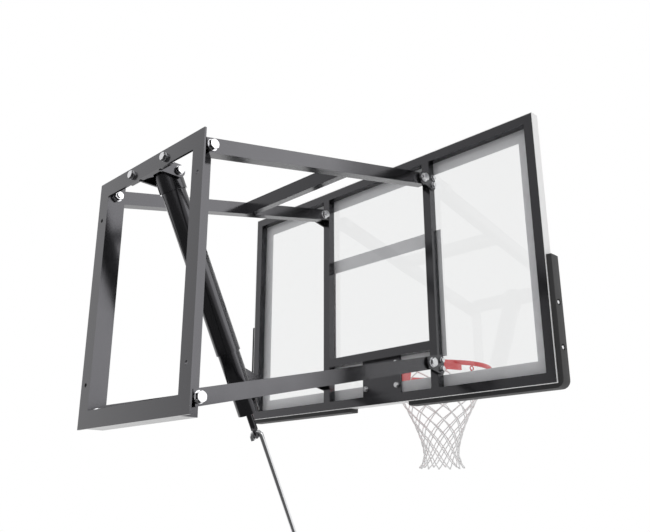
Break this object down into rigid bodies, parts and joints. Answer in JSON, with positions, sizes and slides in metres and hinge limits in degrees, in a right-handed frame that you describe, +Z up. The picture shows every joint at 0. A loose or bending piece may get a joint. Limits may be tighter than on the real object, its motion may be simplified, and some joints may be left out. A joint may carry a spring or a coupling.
{
  "type": "wall-mounted basketball backboard",
  "caption": "Clear basketball backboard on a wall frame with parallel swing arms; a crank jack raises and lowers it; red rim, corded net and corner pads.",
  "frame": {"origin": "centre of the four wall bolts, on the wall plane", "axes": "+X along the wall, +Y into the wall, +Z up; the playing face looks along -Y"},
  "size_m": [1.644, 1.8176, 2.0969],
  "materials": {
    "black_paint": "satin powder coat",
    "zinc_bolt": "zinc plated",
    "clear_panel": "clear acrylic with printed border and target",
    "pad": "moulded foam skin",
    "red_paint": "satin powder coat",
    "net_cord": "braided nylon cord",
    "plated_steel": "bright plated",
    "white_trim": "smooth strip",
    "grip": "moulded"
  },
  "bodies": {
    "wall_frame": {"wall_upright_left": "black_paint", "wall_upright_right": "black_paint", "wall_top_rail": "black_paint", "wall_bottom_rail": "black_paint", "jack_clevis": "black_paint", "clevis_bolts": "zinc_bolt", "clevis_pin": "zinc_bolt", "upper_wall_pivots": "zinc_bolt", "lower_wall_pivots": "zinc_bolt"},
    "upper_arms": {"upper_arm_left": "black_paint", "upper_arm_right": "black_paint", "upper_brace": "black_paint"},
    "lower_arms": {"lower_arm_left": "black_paint", "lower_arm_right": "black_paint", "lower_crossmember": "black_paint", "jack_lug_left": "black_paint", "jack_lug_right": "black_paint", "jack_foot_bolt": "zinc_bolt"},
    "board": {"board_stile_left": "black_paint", "board_stile_right": "black_paint", "board_mullion_left": "black_paint", "board_mullion_right": "black_paint", "board_top_rail": "black_paint", "board_bottom_rail": "black_paint", "board_crossbar": "black_paint", "clear_panel": "clear_panel", "rim_back_plate": "black_paint", "hinge_plate_upper_left": "black_paint", "hinge_plate_upper_right": "black_paint", "hinge_plate_lower_left": "black_paint", "hinge_plate_lower_right": "black_paint", "hinge_bolts": "zinc_bolt", "board_pivots": "zinc_bolt", "edge_trim_left": "white_trim", "edge_trim_right": "white_trim", "edge_trim_top": "white_trim", "edge_trim_bottom": "white_trim", "edge_pad_left": "pad", "edge_pad_right": "pad", "pad_screws": "zinc_bolt", "rim_ring": "red_paint", "rim_front_plate": "red_paint", "rim_wing_left": "red_paint", "rim_wing_right": "red_paint", "net_loops": "red_paint", "rim_bolts": "zinc_bolt", "net": "net_cord"},
    "jack_top": {"jack_collar": "black_paint", "jack_outer_tube": "black_paint", "jack_guide": "black_paint"},
    "jack_bottom": {"jack_inner_tube": "black_paint", "jack_ear": "black_paint"},
    "screw": {"screw_shaft": "black_paint"},
    "crank": {"crank_hook": "plated_steel", "crank_rod": "plated_steel", "crank_grip": "grip"}
  },
  "joints": [
    {"name": "arm_lift", "type": "hinge", "parent": "wall_frame", "child": "upper_arms", "pos_m": [0, -0.034, 0.386], "axis": [-1, 0, 0], "range_deg": [-25, 2.5]},
    {"name": "lower_arm_lift", "type": "hinge", "parent": "wall_frame", "child": "lower_arms", "pos_m": [0, -0.034, -0.386], "axis": [-1, 0, 0], "range_deg": [-25, 2.5]},
    {"name": "board_level", "type": "hinge", "parent": "upper_arms", "child": "board", "pos_m": [0, -1.09426, 0.62105], "axis": [-1, 0, 0], "range_deg": [-2.5, 25]},
    {"name": "jack_swing", "type": "hinge", "parent": "wall_frame", "child": "jack_top", "pos_m": [0, -0.08, 0.398], "axis": [-1, 0, 0], "range_deg": [-5.15, 0.52]},
    {"name": "jack_slide", "type": "slide", "parent": "jack_top", "child": "jack_bottom", "axis": [0, -0.4483, -0.8939], "range_m": [-0.01846, 0.18457]},
    {"name": "screw_turn", "type": "hinge", "parent": "jack_bottom", "child": "screw", "pos_m": [0, -0.08, 0.398], "axis": [0, -0.4483, -0.8939], "continuous": true},
    {"name": "crank_swing", "type": "hinge", "parent": "screw", "child": "crank", "pos_m": [0, -0.50275, -0.44493], "axis": [-0.7071, 0.6321, -0.317], "range_deg": [-20, 20]}
  ],
  "couplings": [
    {"joint": "lower_arm_lift", "follows": "arm_lift", "ratio": 1},
    {"joint": "board_level", "follows": "arm_lift", "ratio": -1},
    {"joint": "jack_swing", "follows": "arm_lift", "ratio": 0.206},
    {"joint": "jack_slide", "follows": "arm_lift", "m_per_rad": -0.423}
  ]
}
